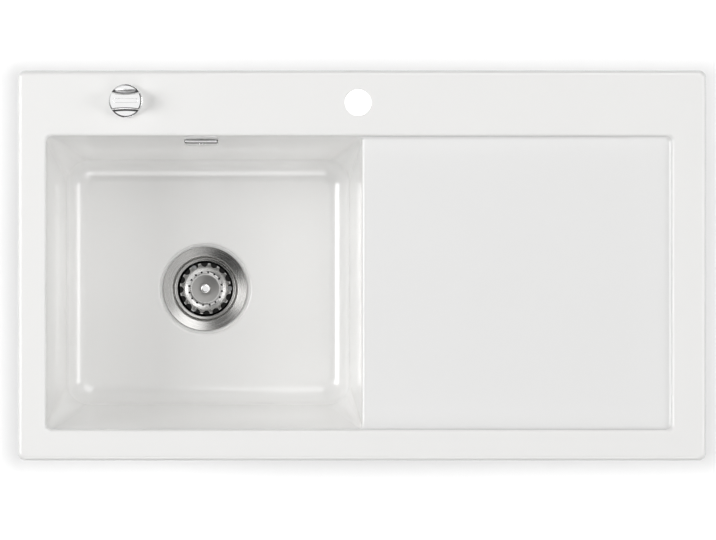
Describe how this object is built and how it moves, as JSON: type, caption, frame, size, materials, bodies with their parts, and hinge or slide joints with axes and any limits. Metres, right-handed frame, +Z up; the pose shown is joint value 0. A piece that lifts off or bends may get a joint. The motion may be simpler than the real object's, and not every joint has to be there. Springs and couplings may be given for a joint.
{
  "type": "inset kitchen sink with drainboard",
  "caption": "Inset ceramic kitchen sink with a bowl, drainboard, tap hole, overflow and a strainer waste worked by a rotary control.",
  "frame": {"origin": "on the worktop's upper surface, under the centre of the rim's outline", "axes": "+X to the right along the long side, bowl on the left and drainboard on the right; +Y to the back, where the tap hole and control are; +Z up"},
  "size_m": [0.9, 0.51, 0.3249],
  "materials": {
    "ceramic": "gloss white glaze",
    "brushed_steel": "satin, turned",
    "polished_steel": "polished",
    "chrome": "polished chrome plate",
    "plain_steel": "zinc plated",
    "brass": "turned",
    "white_plastic": "moulded",
    "dark_plastic": "moulded",
    "black_rubber": "moulded",
    "grey_foam": "closed-cell foam strip"
  },
  "bodies": {
    "sink": {"sink_body": "ceramic", "rim_seal": "grey_foam", "strainer_cup": "brushed_steel", "flange_gasket": "black_rubber", "floor_gasket": "black_rubber", "cup_seal": "black_rubber", "cup_screw_1": "plain_steel", "cup_screw_2": "plain_steel", "cup_screw_3": "plain_steel", "waste_body": "white_plastic", "pin_guide": "white_plastic", "lifter_gland": "white_plastic", "lifter_oring": "black_rubber", "cable_bracket": "plain_steel", "waste_cable_gland": "brass", "waste_gland_nut": "brass", "overflow_cover": "chrome", "overflow_screw": "chrome", "overflow_gasket": "black_rubber", "overflow_head": "white_plastic", "overflow_upper_seal": "black_rubber", "overflow_upper_nut": "white_plastic", "overflow_lower_seal": "black_rubber", "overflow_lower_nut": "white_plastic", "overflow_pipe": "white_plastic", "control_escutcheon": "chrome", "control_seal": "black_rubber", "control_body": "dark_plastic", "housing_cover": "dark_plastic", "housing_screw_1": "plain_steel", "housing_screw_2": "plain_steel", "housing_screw_3": "plain_steel", "housing_screw_4": "plain_steel", "deck_washer": "dark_plastic", "deck_nut": "brass", "spindle_seal": "black_rubber", "control_cable_gland": "brass"},
    "control": {"control_knob": "chrome", "knob_grub_screw": "plain_steel", "control_spindle": "brass", "cable_drum": "white_plastic", "drum_pin": "plain_steel", "spindle_clip": "plain_steel"},
    "lifter": {"lifter_shaft": "plain_steel", "lifter_finger": "white_plastic", "lifter_arm": "plain_steel", "arm_screw": "plain_steel"},
    "plunger": {"lift_pin": "plain_steel"},
    "basket": {"strainer_basket": "brushed_steel", "basket_stem": "white_plastic", "basket_plug": "black_rubber", "plug_retainer": "white_plastic", "plug_collar": "white_plastic", "basket_knob": "polished_steel"}
  },
  "joints": [
    {"name": "control_turn", "type": "hinge", "parent": "sink", "child": "control", "pos_m": [-0.3086, 0.215, 0.02], "axis": [0, 0, 1], "range_deg": [0, 90]},
    {"name": "lifter_turn", "type": "hinge", "parent": "sink", "child": "lifter", "pos_m": [-0.23, -0.046, -0.2505], "axis": [1, 0, 0], "range_deg": [0, 40]},
    {"name": "pin_slide", "type": "slide", "parent": "sink", "child": "plunger", "axis": [0, 0, 1], "range_m": [0, 0.01026]},
    {"name": "basket_lift", "type": "slide", "parent": "plunger", "child": "basket", "axis": [0, 0, 1], "range_m": [0, 0.25]}
  ],
  "couplings": [
    {"joint": "lifter_turn", "follows": "control_turn", "ratio": 0.4444},
    {"joint": "pin_slide", "follows": "control_turn", "m_per_rad": 0.00653}
  ]
}
